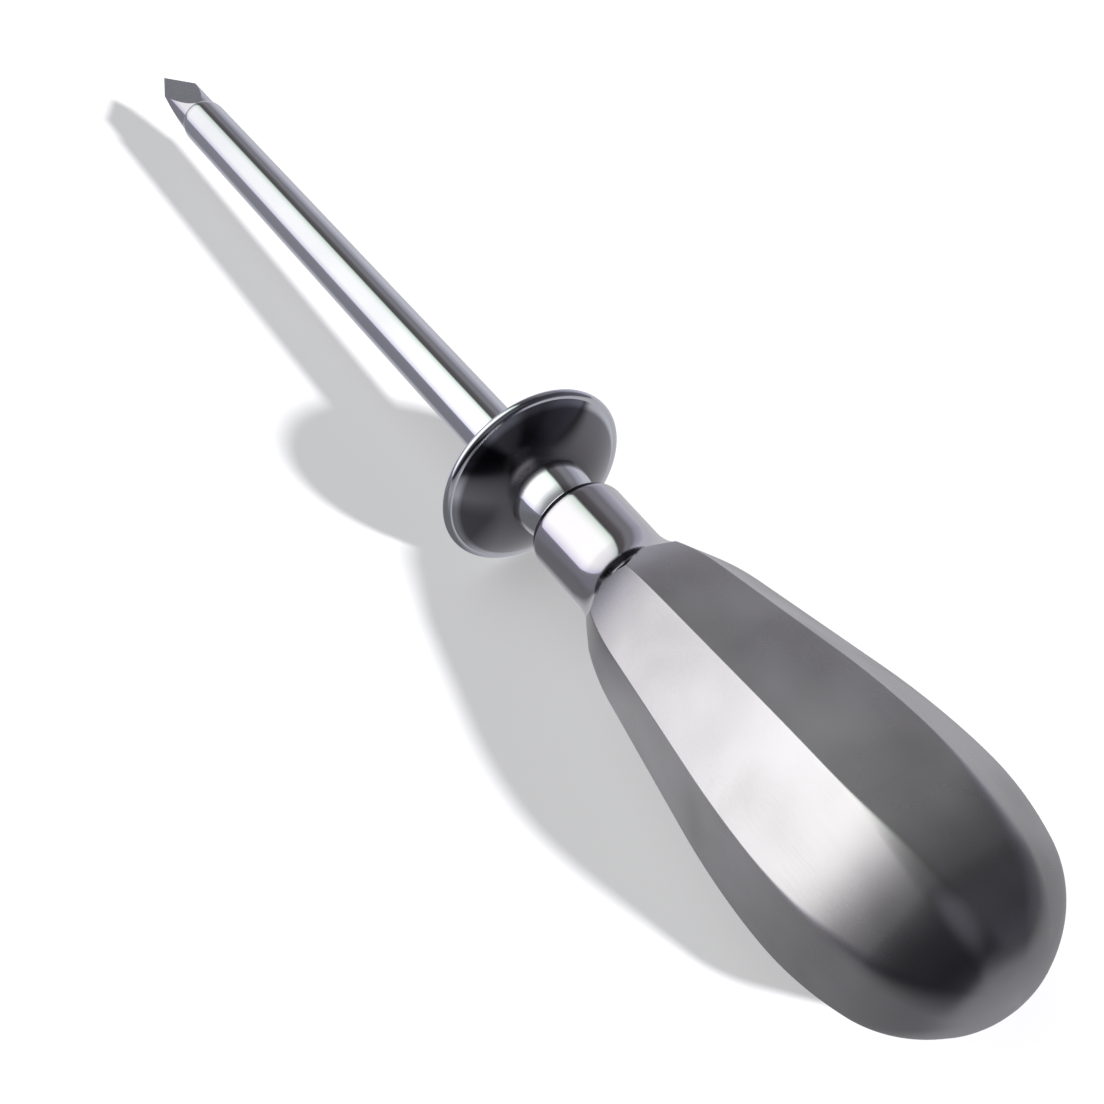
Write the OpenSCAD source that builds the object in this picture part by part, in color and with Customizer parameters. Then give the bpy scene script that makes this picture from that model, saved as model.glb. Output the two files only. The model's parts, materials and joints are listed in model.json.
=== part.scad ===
// Large trocar with its cannula: a three-edged stylet on a hollow octagonal
// pear handle, inside a thin tube that carries a domed guard and a socket.
// Lengths called "station" run along the tool from the plane of the guard's
// rim, towards the point where the name says reach and towards the handle
// everywhere else.

/* [Cannula tube] */
// Outside diameter of the tube
tube_d = 10; // [9:0.1:12]
// Wall of the tube
tube_wall = 0.5; // [0.4:0.05:0.8]
// Station of the tube's mouth
tube_reach = 139.5; // [100:1:180]
// Station of the tube's rear end, inside the socket
tube_seat = 9; // [8:0.1:10]
// How far the rear end is turned down where it enters guard and socket
seat_step = 0.2; // [0.16:0.01:0.3]
// Length of the turned-down end left showing in front of the guard
seat_relief = 0.4; // [0.2:0.05:1]
// Rounding of the mouth's outer edge
lip_r = 0.4; // [0.2:0.05:0.4]

/* [Guard] */
// Diameter of the guard over its rim
guard_d = 34.5; // [30:0.5:44]
// Radius of the dome's handle side
dome_r = 26.5; // [24:0.5:40]
// Thickness of the guard's sheet
guard_t = 1.1; // [0.8:0.1:1.4]
// Diameter of the rolled rim
rim_bead_d = 1.8; // [1.6:0.1:2.4]

/* [Socket] */
// Wall of the socket round the tube, where it stands on the dome
socket_wall = 2.05; // [1.2:0.05:4]
// Width of the flat ring that meets the collar
seat_ring = 0.7; // [0.3:0.05:1]
// Station of the face where socket and collar meet
seat_station = 12.1; // [11:0.1:14]
// Bevel at the mouth of the socket's bore
socket_bevel = 0.4; // [0.2:0.05:0.5]

/* [Stylet] */
// Station of the point
point_reach = 162.5; // [140:0.5:200]
// Length of the three ground faces
point_length = 22.5; // [14:0.5:24]
// Turn of the ground faces about the tool's axis, from straight up
point_turn = 7; // [0:1:119]
// Radial gap between rod and tube
slide_gap = 0.05; // [0.02:0.01:0.1]
// Station of the shoulder where the rod stops in the collar
shoulder_station = 28; // [20:0.5:31]
// Diameter of the threaded tang
tang_d = 6; // [5:0.5:6]
// Length of tang past the nut
tang_over = 2; // [1:0.5:4]
// Bevel at the end of the tang
tang_bevel = 0.6; // [0.2:0.1:1]

/* [Collar] */
// Diameter of the collar at its front
collar_d = 17.4; // [16.4:0.1:19]
// Rounding of the collar's front edge
collar_round = 3; // [1.5:0.1:3.2]
// How far the waist is turned in below the front
waist_cut = 0.2; // [0.1:0.05:0.6]
// Radius of the flare into the handle, in profile
flare_r = 11; // [8:0.5:14]
// Station where collar and handle shell meet
join_station = 32; // [31:0.5:38]
// Length of the spigot inside the shell
spigot_length = 6; // [4:0.5:8]
// Radial gap between spigot and shell
spigot_gap = 0.05; // [0.02:0.01:0.2]
// Radial gap round rod and tang in the collar, and round the tube's seat
bore_gap = 0.03; // [0.02:0.01:0.1]

/* [Handle shell] */
// Width across two opposite flats at the widest place
handle_w = 37.5; // [34:0.5:44]
// Station of the widest place
wide_station = 88; // [80:1:100]
// Station of the handle's rear end
rear_station = 114.5; // [110:0.5:120]
// How much the radius of the flats' rear end falls short of half the width
cap_step = 1.25; // [0.8:0.05:2]
// Station where the flank turns into the shoulder
shoulder_turn = 44; // [42:0.5:48]
// How far the flats stand out over the collar's waist at that station
shoulder_rise = 5.19; // [4.8:0.01:6]
// How much steeper the flank is than a line from there to the widest place
flank_bow = 1.98; // [1.5:0.02:2.6]
// Radius of the shoulder, in profile
shoulder_r = 45; // [40:1:60]
// Wall of the pressed shell
shell_wall = 1.2; // [0.8:0.1:1.4]

/* [Tang nut] */
// Width of the nut across its flats
nut_w = 10; // [9:0.5:11]
// Height of the nut
nut_h = 5; // [4:0.5:6]
// Diameter of the lock washer
washer_d = 11.8; // [11:0.1:13]
// Thickness of the lock washer
washer_t = 1.6; // [1:0.1:2]
// Width of the slit in the lock washer
washer_slit = 1.5; // [1:0.1:2]
// Slope of the bevel on the nut's corners, from the tool's axis
nut_bevel_slope = 65; // [55:1:75]
// Radial gap round the tang in nut and washer
thread_gap = 0.05; // [0.03:0.01:0.1]

/* [Hidden] */

$fn = 96;
// Cuts run past the surfaces that they open by this much
over = 1;
// Half of a block that is larger than the tool
far = 200;

// Angle from the middle of a flat to its ridge, on a handle of eight flats
ridge_turn = 22.5;

tube_r = tube_d / 2;
tube_bore_r = tube_r - tube_wall;
rod_r = tube_bore_r - slide_gap;
tang_r = tang_d / 2;

// The dome is part of a ball centred on the point side of the rim's plane
bead_r = rim_bead_d / 2;
guard_r = guard_d / 2;
bead_ring_r = guard_r - bead_r;
dome_centre = sqrt(pow(dome_r - guard_t / 2, 2) - pow(bead_ring_r, 2));

// The tube is turned down just before it passes through the guard's sheet
seat_r = tube_r - seat_step;
seat_start = sqrt(pow(dome_r - guard_t, 2) - pow(tube_r, 2)) - dome_centre - seat_relief;

// The socket's side is an arc that starts square to the rim's plane
socket_r = tube_r + socket_wall;
socket_foot = sqrt(pow(dome_r, 2) - pow(socket_r, 2)) - dome_centre;
socket_mouth_r = tube_bore_r + socket_bevel;
socket_taper = socket_r - socket_mouth_r - seat_ring;
socket_curve_r = (pow(socket_taper, 2) + pow(seat_station - socket_foot, 2)) / (2 * socket_taper);

// Profile of one flat of the handle: rear cap, aft arc, belly arc, straight
// flank and shoulder arc, each tangent to the next. Points are [height above
// the axis, station], and every arc keeps its centre when the profile is inset.
flat_h = handle_w / 2;
cap_r = flat_h - cap_step;
cap_station = rear_station - cap_r;
// The aft arc is tangent to the cap and level at the widest place
cap_run = cap_station - wide_station;
aft_r = (pow(cap_run, 2) + pow(flat_h, 2) - pow(cap_r, 2)) / (2 * cap_step);
aft_slope = atan2(cap_run, aft_r - flat_h);
function cap_joint(inset) = [
    (cap_r - inset) * cos(aft_slope),
    cap_station + (cap_r - inset) * sin(aft_slope)
];
// The flank is a line at the shoulder's turn, and the belly is the arc that is
// tangent to it and level at the widest place
waist_r = collar_d / 2 - waist_cut;
turn_h = waist_r + shoulder_rise;
flank_run = wide_station - shoulder_turn;
flank_slope = atan2(flat_h - turn_h, flank_run) + flank_bow;
belly_r = (flank_run * sin(flank_slope) - (flat_h - turn_h) * cos(flank_slope)) / (1 - cos(flank_slope));
function flank_start(inset) = [
    flat_h - belly_r + (belly_r - inset) * cos(flank_slope),
    wide_station - (belly_r - inset) * sin(flank_slope)
];
shoulder_centre = [
    turn_h - shoulder_r * cos(flank_slope),
    shoulder_turn + shoulder_r * sin(flank_slope)
];
function flank_end(inset) = [
    shoulder_centre[0] + (shoulder_r - inset) * cos(flank_slope),
    shoulder_centre[1] - (shoulder_r - inset) * sin(flank_slope)
];
function shoulder_h(station, inset) =
    shoulder_centre[0] + sqrt(pow(shoulder_r - inset, 2) - pow(shoulder_centre[1] - station, 2));

// The flare starts where it can reach the flats' height at the join
join_r = shoulder_h(join_station, 0);
flare_rise = join_r - waist_r;
flare_station = join_station - sqrt(2 * flare_r * flare_rise - pow(flare_rise, 2));
spigot_r = shoulder_h(join_station, shell_wall) - spigot_gap;
spigot_end = join_station + spigot_length;
nut_start = spigot_end + washer_t;
tang_end = nut_start + nut_h + tang_over;

// The tool lies on one flat and on the guard's rim, so it tilts by the angle
// of the line that touches both the belly arc and the rim's bead
belly_drop = belly_r - flat_h + bead_ring_r;
rest_tilt = atan2(wide_station, belly_drop)
    - acos((belly_r - bead_r) / sqrt(pow(wide_station, 2) + pow(belly_drop, 2)));
rest_lift = bead_ring_r * cos(rest_tilt) + bead_r;
rest_x = (cap_station * cos(rest_tilt) + cap_r - point_reach * cos(rest_tilt)) / 2;

// Lays the tool down: its axis runs along X, with the point towards +X
module lay_down() {
    translate([rest_x, 0, rest_lift])
        rotate([0, 90 + rest_tilt, 0])
            children();
}

// Draws profiles with stations towards the handle and turns them about the axis
module turned() {
    mirror([0, 0, 1])
        rotate_extrude()
            children();
}

// Rectangle from one corner to the opposite one
module span(from, to) {
    polygon([
        from,
        [to[0], from[1]],
        to,
        [from[0], to[1]]
    ]);
}

// Part of a disc between two stations, on one side of the axis
module arc_piece(centre, r, from, to) {
    intersection() {
        translate(centre)
            circle(r);
        span([0, from], [far, to]);
    }
}

// Half profile of the handle's flats, set in by a wall
module flat_profile(inset, front) {
    arc_piece([0, cap_station], cap_r - inset, cap_joint(inset)[1], rear_station + over);
    arc_piece([flat_h - aft_r, wide_station], aft_r - inset, wide_station, cap_joint(inset)[1]);
    arc_piece([flat_h - belly_r, wide_station], belly_r - inset, flank_start(inset)[1], wide_station);
    polygon([
        [0, flank_start(inset)[1]],
        flank_start(inset),
        flank_end(inset),
        [0, flank_end(inset)[1]]
    ]);
    arc_piece(shoulder_centre, shoulder_r - inset, front, flank_end(inset)[1]);
}

// One flat of the pear with its wall, from the ridge at 0 to the ridge at 45 degrees
module flat_panel() {
    intersection() {
        rotate([0, 0, ridge_turn])
            rotate([-90, 0, 0])
                linear_extrude(height = handle_w, center = true)
                    difference() {
                        flat_profile(0, join_station);
                        flat_profile(shell_wall, join_station - over);
                    }
        translate([0, 0, -far])
            linear_extrude(height = far)
                polygon([
                    [0, 0],
                    [handle_w, 0],
                    [handle_w, handle_w]
                ]);
    }
}

module flat_pair() {
    flat_panel();
    mirror([1, -1, 0])
        flat_panel();
}

// Everything under the flare's surface, from the join backwards
module under_flare() {
    turned() {
        difference() {
            span([0, flare_station], [waist_r + flare_r, flare_station + flare_r]);
            translate([waist_r + flare_r, flare_station])
                circle(flare_r);
        }
        span([0, flare_station + flare_r], [waist_r + flare_r + handle_w, far]);
    }
}

// Half of the pressed shell: four flats in a row, cut to the flare in front
module half_shell(turn) {
    color("gainsboro")
        lay_down()
            intersection() {
                rotate([0, 0, turn + ridge_turn])
                    union() {
                        flat_pair();
                        mirror([1, 0, 0])
                            flat_pair();
                    }
                under_flare();
            }
}

module handle_shell_upper() {
    half_shell(90);
}

module handle_shell_lower() {
    half_shell(270);
}

// Turned collar: rounded front edge, slight waist, flare and rear spigot
module neck_collar() {
    color("silver")
        lay_down()
            turned()
                difference() {
                    union() {
                        span([0, seat_station], [collar_d / 2 - collar_round, seat_station + collar_round]);
                        arc_piece(
                            [collar_d / 2 - collar_round, seat_station + collar_round],
                            collar_round, seat_station, seat_station + collar_round
                        );
                        polygon([
                            [0, seat_station + collar_round],
                            [collar_d / 2, seat_station + collar_round],
                            [waist_r, flare_station],
                            [0, flare_station]
                        ]);
                        difference() {
                            span([0, flare_station], [join_r, join_station]);
                            translate([waist_r + flare_r, flare_station])
                                circle(flare_r);
                        }
                        span([0, join_station], [spigot_r, spigot_end]);
                    }
                    span([0, seat_station - over], [rod_r + bore_gap, shoulder_station]);
                    span([0, shoulder_station], [tang_r + bore_gap, spigot_end + over]);
                }
}

// Rod with three ground faces, a stop shoulder and a tang for the nut
module stylet() {
    color("lightsteelblue")
        lay_down()
            difference() {
                union() {
                    translate([0, 0, -shoulder_station])
                        cylinder(h = point_reach + shoulder_station, r = rod_r);
                    turned()
                        polygon([
                            [0, shoulder_station - over],
                            [tang_r, shoulder_station - over],
                            [tang_r, tang_end - tang_bevel],
                            [tang_r - tang_bevel, tang_end],
                            [0, tang_end]
                        ]);
                }
                for (i = [0 : 2])
                    rotate([0, 0, 180 - point_turn + 120 * i])
                        ground_face();
            }
}

// What the wheel takes off for one face of the point
module ground_face() {
    reach = 2 * rod_r;
    rotate([90, 0, 0])
        linear_extrude(height = 4 * rod_r, center = true)
            polygon([
                [0, point_reach],
                [reach, point_reach - point_length * reach / rod_r],
                [reach, point_reach + over],
                [0, point_reach + over]
            ]);
}

module tang_nut() {
    color("darkgray")
        lay_down()
            translate([0, 0, -nut_start - nut_h])
                difference() {
                    intersection() {
                        cylinder(h = nut_h, d = nut_w / cos(30), $fn = 6);
                        nut_bevel();
                    }
                    translate([0, 0, -over])
                        cylinder(h = nut_h + 2 * over, r = tang_r + thread_gap);
                }
}

// Cone that takes the corners off the nut's front face
module nut_bevel() {
    cylinder(h = nut_h, r1 = nut_w / 2, r2 = nut_w / 2 + nut_h * tan(nut_bevel_slope));
}

// Split ring between collar and nut
module lock_washer() {
    color("darkgray")
        lay_down()
            translate([0, 0, -nut_start])
                difference() {
                    cylinder(h = washer_t, d = washer_d);
                    translate([0, 0, -over])
                        cylinder(h = washer_t + 2 * over, r = tang_r + thread_gap);
                    translate([0, -washer_slit / 2, -over])
                        cube([washer_d, washer_slit, washer_t + 2 * over]);
                }
}

// Thin tube with a rounded mouth, seated in the socket
module cannula_tube() {
    color("silver")
        lay_down()
            turned()
                difference() {
                    union() {
                        span([0, lip_r - tube_reach], [tube_r, seat_start]);
                        span([0, seat_start - over], [seat_r, tube_seat]);
                        span([0, -tube_reach], [tube_r - lip_r, lip_r - tube_reach]);
                        arc_piece([tube_r - lip_r, lip_r - tube_reach], lip_r, -tube_reach, lip_r - tube_reach);
                    }
                    span([0, -tube_reach - over], [tube_bore_r, tube_seat + over]);
                }
}

// Domed guard with a rolled rim
module guard_disc() {
    color("slategray")
        lay_down()
            turned()
                difference() {
                    union() {
                        intersection() {
                            difference() {
                                translate([0, -dome_centre])
                                    circle(dome_r);
                                translate([0, -dome_centre])
                                    circle(dome_r - guard_t);
                            }
                            span([0, 0], [bead_ring_r, dome_r]);
                        }
                        translate([bead_ring_r, 0])
                            circle(bead_r);
                    }
                    span([0, -dome_r], [seat_r + bore_gap, dome_r]);
                }
}

// Curved socket on the dome: it takes the tube and meets the collar
module cannula_socket() {
    color("silver")
        lay_down()
            turned()
                difference() {
                    union() {
                        span([0, 0], [socket_r, socket_foot]);
                        arc_piece([socket_r - socket_curve_r, socket_foot], socket_curve_r, socket_foot, seat_station);
                    }
                    translate([0, -dome_centre])
                        circle(dome_r);
                    span([0, 0], [seat_r + bore_gap, tube_seat]);
                    span([0, 0], [tube_bore_r, seat_station + over]);
                    polygon([
                        [0, seat_station + over],
                        [socket_mouth_r + over, seat_station + over],
                        [tube_bore_r - over, seat_station - socket_bevel - over],
                        [0, seat_station - socket_bevel - over]
                    ]);
                }
}

stylet();
neck_collar();
lock_washer();
tang_nut();
handle_shell_upper();
handle_shell_lower();
cannula_tube();
guard_disc();
cannula_socket();
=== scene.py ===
import json
import bmesh
import bpy
import numpy as np
from mathutils import Matrix, Vector


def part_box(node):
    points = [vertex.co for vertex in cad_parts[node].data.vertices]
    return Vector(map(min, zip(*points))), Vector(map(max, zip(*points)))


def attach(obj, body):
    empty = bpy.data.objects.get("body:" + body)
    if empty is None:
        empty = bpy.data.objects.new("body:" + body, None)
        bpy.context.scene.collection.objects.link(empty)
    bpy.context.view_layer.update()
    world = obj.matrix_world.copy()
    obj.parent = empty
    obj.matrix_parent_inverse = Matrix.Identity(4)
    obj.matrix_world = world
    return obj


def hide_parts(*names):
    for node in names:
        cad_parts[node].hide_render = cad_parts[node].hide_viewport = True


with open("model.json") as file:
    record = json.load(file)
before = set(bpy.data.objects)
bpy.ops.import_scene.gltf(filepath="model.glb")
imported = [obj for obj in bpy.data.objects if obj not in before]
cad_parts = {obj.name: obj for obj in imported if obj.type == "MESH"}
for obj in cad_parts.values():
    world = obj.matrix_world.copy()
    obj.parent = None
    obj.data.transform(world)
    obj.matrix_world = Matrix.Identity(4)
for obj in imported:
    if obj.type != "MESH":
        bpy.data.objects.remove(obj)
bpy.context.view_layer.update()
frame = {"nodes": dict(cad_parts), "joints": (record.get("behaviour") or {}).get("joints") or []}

# The stylet: one solid stainless rod, mirror polished, with three flat faces
# ground on its end that meet in the point. Its rear steps down to a tang for
# the nut. Lengths are in millimetres, and stations count from the guard's rim.
MM = 0.001
ROD_R = 4.45
POINT_REACH = 162.5
POINT_LENGTH = 22.5
POINT_TURN = np.radians(7.0)
SHOULDER_STATION = 28.0
TANG_R = 3.0
TANG_END = 46.6
TANG_BEVEL = 0.6
ROD_BEVEL = 0.2
POINT_FACES = 3
ROD_COLUMNS = 240
POINT_ROWS = 16
# Stations of the rod's rows, from inside the collar to just behind the faces.
ROD_ROWS = np.linspace(20.0, POINT_LENGTH + 1.5 - POINT_REACH, 20)
# Points nearer than this are one point.
SAME_POINT = 0.0002
# Sizes of the marks that polishing wheel and grinding wheel leave.
WIPE_WIDTH = 0.385
WIPE_LENGTH = 7.7
CLOUD_SIZE = 18.2
WHEEL_WIDTH = 0.083
WHEEL_LENGTH = 3.85
MARK_DEPTH = 0.02

# The tool's axis is the way that the cannula slides. The guard stands on its
# rim, so the rim's middle is as high as the guard's.
TOWARDS_POINT = np.array(frame["joints"][0]["axis"])
TOWARDS_POINT /= np.linalg.norm(TOWARDS_POINT)
TOOL_LEFT = np.array([0.0, 1.0, 0.0])
TOOL_UP = np.cross(TOWARDS_POINT, TOOL_LEFT)
POINT_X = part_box("stylet")[1][0] / MM
RIM_HEIGHT = (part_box("guard_disc")[0][2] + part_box("guard_disc")[1][2]) / 2 / MM
RIM_PLACE = np.array([POINT_X - POINT_REACH * TOWARDS_POINT[0], 0.0, RIM_HEIGHT])


def in_place(r, turn, station):
    """Point at distance r from the tool's axis, turned from straight up to the
    left, at a station that counts from the guard's rim towards the handle:
    rim place - station * axis + r * (cos(turn) * up + sin(turn) * left)."""
    r, turn, station = np.broadcast_arrays(r, turn, station)
    return (
        RIM_PLACE
        - station[..., None] * TOWARDS_POINT
        + (r * np.cos(turn))[..., None] * TOOL_UP
        + (r * np.sin(turn))[..., None] * TOOL_LEFT
    )


def grid_piece(name, points, close_rows, close_columns, sharp_degrees, finish):
    """Skin over a grid of points, one four-sided face between each two rows and
    columns. Equal points are merged, which closes seams and poles, and the
    faces are turned outwards. finish gives each face its material's number."""
    rows, columns = points.shape[:2]
    last_row = rows if close_rows else rows - 1
    last_column = columns if close_columns else columns - 1
    i, j = np.meshgrid(np.arange(last_row), np.arange(last_column), indexing="ij")
    i, j = i.ravel(), j.ravel()
    k, m = (i + 1) % rows, (j + 1) % columns
    faces = np.stack([i * columns + j, k * columns + j, k * columns + m, i * columns + m], 1)
    mesh = bpy.data.meshes.new(name)
    mesh.from_pydata((points.reshape(-1, 3) * MM).tolist(), [], faces.tolist())
    if finish is not None:
        mesh.polygons.foreach_set("material_index", finish(i, j).astype(np.int32))
    work = bmesh.new()
    work.from_mesh(mesh)
    bmesh.ops.remove_doubles(work, verts=work.verts, dist=SAME_POINT * MM)
    bmesh.ops.recalc_face_normals(work, faces=work.faces)
    if work.calc_volume(signed=True) < 0:
        bmesh.ops.reverse_faces(work, faces=work.faces)
    work.to_mesh(mesh)
    work.free()
    mesh.shade_smooth()
    mesh.set_sharp_from_angle(angle=np.radians(sharp_degrees))
    piece = bpy.data.objects.new(name, mesh)
    bpy.context.scene.collection.objects.link(piece)
    return piece


def linear(hex_colour):
    """Linear colour of an sRGB hex value: the standard curve's inverse."""
    c = np.array([int(hex_colour[n : n + 2], 16) for n in (0, 2, 4)]) / 255
    c = np.where(c <= 0.04045, c / 12.92, ((c + 0.055) / 1.055) ** 2.4)
    return (*c.tolist(), 1.0)


def add_node(tree, kind, settings=(), values=(), links=(), stops=()):
    """Node of a kind, with its settings, its socket values and its links, and
    on a colour ramp its stops: the place and hex colour of each, in order."""
    made = tree.nodes.new(kind)
    for key, value in dict(settings).items():
        setattr(made, key, value)
    for key, value in dict(values).items():
        made.inputs[key].default_value = value
    for key, source in dict(links).items():
        tree.links.new(source, made.inputs[key])
    if stops:
        elements = made.color_ramp.elements
        elements.remove(elements[1])
        elements[0].position = stops[0][0]
        elements[0].color = linear(stops[0][1])
        for place, colour in stops[1:]:
            elements.new(place).color = linear(colour)
    return made


def cells(*sizes):
    """Scale of a pattern from the size of its marks in millimetres, for each
    direction: one over the size in metres."""
    return tuple(1 / (size * MM) for size in sizes)


def new_material(name):
    """Node material that has no nodes yet, and its node tree."""
    material = bpy.data.materials.new(name)
    material.use_nodes = True
    material.node_tree.nodes.clear()
    return material, material.node_tree


def polished_stainless(name, dull_tint, bright_tint):
    """Stainless turned and buffed to a mirror: the eye sees the surroundings,
    slightly dimmed and cool, with hair-fine wiping marks round the turned
    pieces and faint cloudy patches where fingers have dulled the shine."""
    material, tree = new_material(name)
    place = add_node(tree, "ShaderNodeTexCoord").outputs["Object"]
    # Wiping marks lie round the tool: narrow along it, long across.
    marks = add_node(
        tree, "ShaderNodeMapping", values={"Scale": cells(WIPE_WIDTH, WIPE_LENGTH, WIPE_LENGTH)},
        links={"Vector": place},
    )
    fine = add_node(
        tree, "ShaderNodeTexNoise", values={"Scale": 1.0, "Detail": 4.0, "Roughness": 0.6},
        links={"Vector": marks.outputs[0]},
    )
    cloud = add_node(
        tree, "ShaderNodeTexNoise", values={"Scale": cells(CLOUD_SIZE)[0], "Detail": 3.0},
        links={"Vector": place},
    )
    rough = add_node(
        tree, "ShaderNodeMapRange",
        values={"From Min": 0.3, "From Max": 0.75, "To Min": 0.055, "To Max": 0.1},
        links={"Value": cloud.outputs["Fac"]},
    )
    tint = add_node(
        tree, "ShaderNodeValToRGB", links={"Fac": cloud.outputs["Fac"]},
        stops=[(0.3, dull_tint), (0.7, bright_tint)],
    )
    bump = add_node(
        tree, "ShaderNodeBump", values={"Strength": 0.03, "Distance": MARK_DEPTH * MM},
        links={"Height": fine.outputs["Fac"]},
    )
    shader = add_node(
        tree, "ShaderNodeBsdfPrincipled", values={"Metallic": 1.0},
        links={"Base Color": tint.outputs["Color"], "Roughness": rough.outputs[0], "Normal": bump.outputs[0]},
    )
    add_node(tree, "ShaderNodeOutputMaterial", links={"Surface": shader.outputs[0]})
    return material


def ground_stainless():
    """The point's faces, drawn over a fine wheel: flat grey with straight
    scratches across the rod, so they hardly mirror anything."""
    material, tree = new_material("fine_ground_stainless")
    place = add_node(tree, "ShaderNodeTexCoord").outputs["Object"]
    # Wheel marks lie across the rod.
    marks = add_node(
        tree, "ShaderNodeMapping", values={"Scale": cells(WHEEL_WIDTH, WHEEL_LENGTH, WHEEL_LENGTH)},
        links={"Vector": place},
    )
    fine = add_node(
        tree, "ShaderNodeTexNoise", values={"Scale": 1.0, "Detail": 3.0, "Roughness": 0.55},
        links={"Vector": marks.outputs[0]},
    )
    rough = add_node(
        tree, "ShaderNodeMapRange",
        values={"From Min": 0.3, "From Max": 0.7, "To Min": 0.24, "To Max": 0.34},
        links={"Value": fine.outputs["Fac"]},
    )
    tint = add_node(
        tree, "ShaderNodeValToRGB", links={"Fac": fine.outputs["Fac"]},
        stops=[(0.3, "BDBDC2"), (0.7, "CDCDD0")],
    )
    bump = add_node(
        tree, "ShaderNodeBump", values={"Strength": 0.08, "Distance": MARK_DEPTH * MM},
        links={"Height": fine.outputs["Fac"]},
    )
    shader = add_node(
        tree, "ShaderNodeBsdfPrincipled", values={"Metallic": 1.0},
        links={"Base Color": tint.outputs["Color"], "Roughness": rough.outputs[0], "Normal": bump.outputs[0]},
    )
    add_node(tree, "ShaderNodeOutputMaterial", links={"Surface": shader.outputs[0]})
    return material


mirror_steel = polished_stainless("mirror_polished_stainless", "E0DEE0", "E9E7E9")
ground_steel = ground_stainless()


def stylet_points():
    """Rod as a solid of turning, and its point: along a line at turn t, the
    face whose middle is nearest starts where the rod's skin meets its plane,
    point_length * cos(t - middle) behind the point, and runs straight there."""
    turn = POINT_TURN + np.radians(np.arange(ROD_COLUMNS) * 360 / ROD_COLUMNS)
    half_face = np.pi / POINT_FACES
    from_middle = np.mod(turn - POINT_TURN + half_face, 2 * half_face) - half_face
    face_start = POINT_LENGTH * np.cos(from_middle)
    profile = np.array([
        [0.0, TANG_END], [TANG_R - TANG_BEVEL, TANG_END],
        [TANG_R, TANG_END - TANG_BEVEL], [TANG_R, SHOULDER_STATION],
        [ROD_R - ROD_BEVEL, SHOULDER_STATION], [ROD_R, SHOULDER_STATION - ROD_BEVEL],
    ])
    rear = [in_place(r, turn, s) for r, s in profile]
    rod = [in_place(ROD_R, turn, s) for s in ROD_ROWS]
    edge = [in_place(ROD_R, turn, face_start - POINT_REACH)]
    face = [
        in_place(ROD_R * (1 - t), turn, face_start * (1 - t) - POINT_REACH)
        for t in np.linspace(0.0, 1.0, POINT_ROWS)[1:]
    ]
    return np.stack(rear + rod + edge + face)


stylet_grid = stylet_points()
stylet = grid_piece(
    "stylet_polished", stylet_grid, close_rows=False, close_columns=True, sharp_degrees=7.0,
    finish=lambda row, column: row >= stylet_grid.shape[0] - POINT_ROWS,
)
stylet.data.materials.append(mirror_steel)
stylet.data.materials.append(ground_steel)
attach(stylet, "handle")
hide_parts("stylet")

# The handle: two half shells pressed from stainless sheet, welded along two
# opposite ridges, ground to eight flats and given a satin finish. The ridges
# are crisp near the collar and fade into the round rear end.
HANDLE_W = 37.5
FLAT_H = HANDLE_W / 2
WIDE_STATION = 88.0
REAR_STATION = 114.5
CAP_STEP = 1.25
CAP_R = FLAT_H - CAP_STEP
CAP_STATION = REAR_STATION - CAP_R
CAP_RUN = CAP_STATION - WIDE_STATION
AFT_R = (CAP_RUN ** 2 + FLAT_H ** 2 - CAP_R ** 2) / (2 * CAP_STEP)
# The collar in front, with its waist and the flare that grows out to the flats.
WAIST_R = 8.5
FLARE_R = 11.0
JOIN_STATION = 32.0
# A flat's profile behind it: shoulder arc, straight flank and bowed belly.
SHOULDER_TURN = 44.0
SHOULDER_RISE = 5.19
FLANK_BOW = np.radians(1.98)
FLANK_RUN = WIDE_STATION - SHOULDER_TURN
FLANK_RISE = FLAT_H - WAIST_R - SHOULDER_RISE
FLANK_SLOPE = np.arctan2(FLANK_RISE, FLANK_RUN) + FLANK_BOW
BELLY_R = (FLANK_RUN * np.sin(FLANK_SLOPE) - FLANK_RISE * np.cos(FLANK_SLOPE)) / (1 - np.cos(FLANK_SLOPE))
SHOULDER_R = 45.0
SHOULDER = (
    WAIST_R + SHOULDER_RISE - SHOULDER_R * np.cos(FLANK_SLOPE),
    SHOULDER_TURN + SHOULDER_R * np.sin(FLANK_SLOPE),
)
SHELL_WALL = 1.2
FLAT_TURN = 45.0
HALF_FLAT = np.radians(FLAT_TURN / 2)
RIDGE_R = 0.35
RIDGE_GROWTH = 6.5
RIDGE_FADES = (82.0, 112.0)
INNER_RIDGE_R = 0.02
# Of a flat's share from its middle to its ridge, what lies on the plane part.
PLANE_SHARE = 0.4
# The flare cuts the flats in front of the first station, and the rows follow
# its edge up to the second.
FLARE_END = 36.0
NECK_END = 45.0
FLARE_ROWS = 4
BODY_ROWS = np.linspace(NECK_END, 101.5, 90)
CAP_TURNS = np.radians(np.linspace(16.5, 90.0, 60))
HALVINGS = 40
# Sizes of the satin's grit lines and of the patches that rubbing leaves.
GRIT_WIDTH = 0.111
GRIT_LENGTH = 8.3
GRIT_DEPTH = 0.03
SHEEN_SIZE = 14.3
PATCH_SIZE = 18.2


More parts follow.
